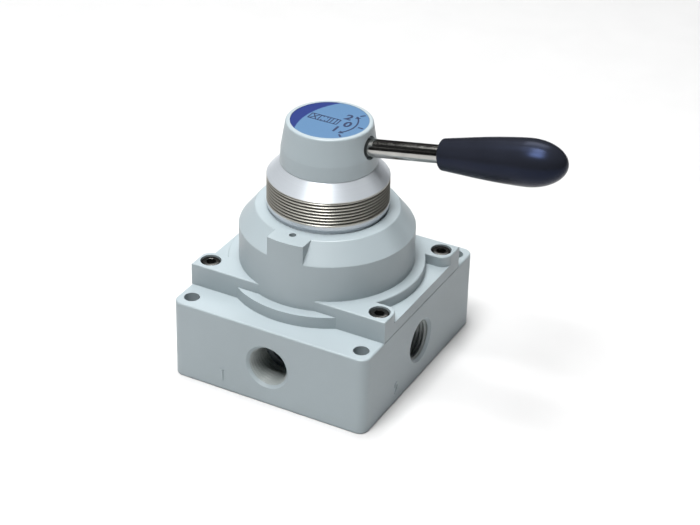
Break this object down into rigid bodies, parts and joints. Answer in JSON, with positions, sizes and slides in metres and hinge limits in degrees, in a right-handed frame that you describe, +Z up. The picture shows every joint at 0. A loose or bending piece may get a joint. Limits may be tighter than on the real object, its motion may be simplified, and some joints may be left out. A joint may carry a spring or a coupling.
{
  "type": "hand lever air valve",
  "caption": "Rotary disc air valve with a port on each side, a domed cover, a threaded panel neck and a hand lever on a tapered hub.",
  "frame": {"origin": "centre of the body's bottom face", "axes": "+Z up the spindle, +X along the lever in its middle position, -Y towards the front, which has the cover's key pad"},
  "size_m": [0.1572, 0.106, 0.1309],
  "materials": {
    "casting_enamel": "satin light grey enamel on an aluminium casting",
    "turned_metal": "bright turned",
    "label_film": "printed film, two blues",
    "plated_steel": "bright plated",
    "grip_plastic": "moulded, semi gloss",
    "black_steel": "blackened",
    "spring_steel": "as drawn",
    "ground_steel": "ground",
    "seal_rubber": "moulded",
    "disc_plastic": "machined acetal",
    "bearing_bronze": "turned bronze",
    "insert_brass": "turned brass"
  },
  "bodies": {
    "housing": {"valve_body": "casting_enamel", "seat_plate": "ground_steel", "seat_o_rings": "seal_rubber", "cover_o_ring": "seal_rubber", "bonnet": "casting_enamel", "neck_bush": "turned_metal", "spindle_bushing": "bearing_bronze", "wiper_seal": "seal_rubber", "detent_ring": "ground_steel", "bonnet_washers": "spring_steel", "bonnet_screws": "black_steel"},
    "rotor": {"rotary_disc": "disc_plastic", "disc_springs": "spring_steel", "spindle": "ground_steel", "drive_pins": "ground_steel", "thrust_washer": "bearing_bronze", "spindle_o_ring": "seal_rubber", "detent_spring_rear": "spring_steel", "detent_spring_front": "spring_steel", "lever_hub": "casting_enamel", "cap_washer": "spring_steel", "cap_screw": "black_steel", "label_disc": "label_film", "lever_rod": "plated_steel", "lever_grip": "grip_plastic", "grip_insert": "insert_brass"},
    "ball_rear": {"detent_ball_rear": "ground_steel"},
    "ball_front": {"detent_ball_front": "ground_steel"}
  },
  "joints": [
    {"name": "lever_turn", "type": "hinge", "parent": "housing", "child": "rotor", "pos_m": [0, 0, 0.0585], "axis": [0, 0, 1], "range_deg": [-45, 45]},
    {"name": "detent_rear", "type": "slide", "parent": "rotor", "child": "ball_rear", "axis": [0, 1, 0], "range_m": [0, 0.0008], "stiffness_N_per_m": 2000, "springref_m": 0.002, "deforming": ["detent_spring_rear"]},
    {"name": "detent_front", "type": "slide", "parent": "rotor", "child": "ball_front", "axis": [0, -1, 0], "range_m": [0, 0.0008], "stiffness_N_per_m": 2000, "springref_m": 0.002, "deforming": ["detent_spring_front"]}
  ],
  "couplings": [
    {"joint": "detent_front", "follows": "detent_rear", "ratio": 1}
  ]
}
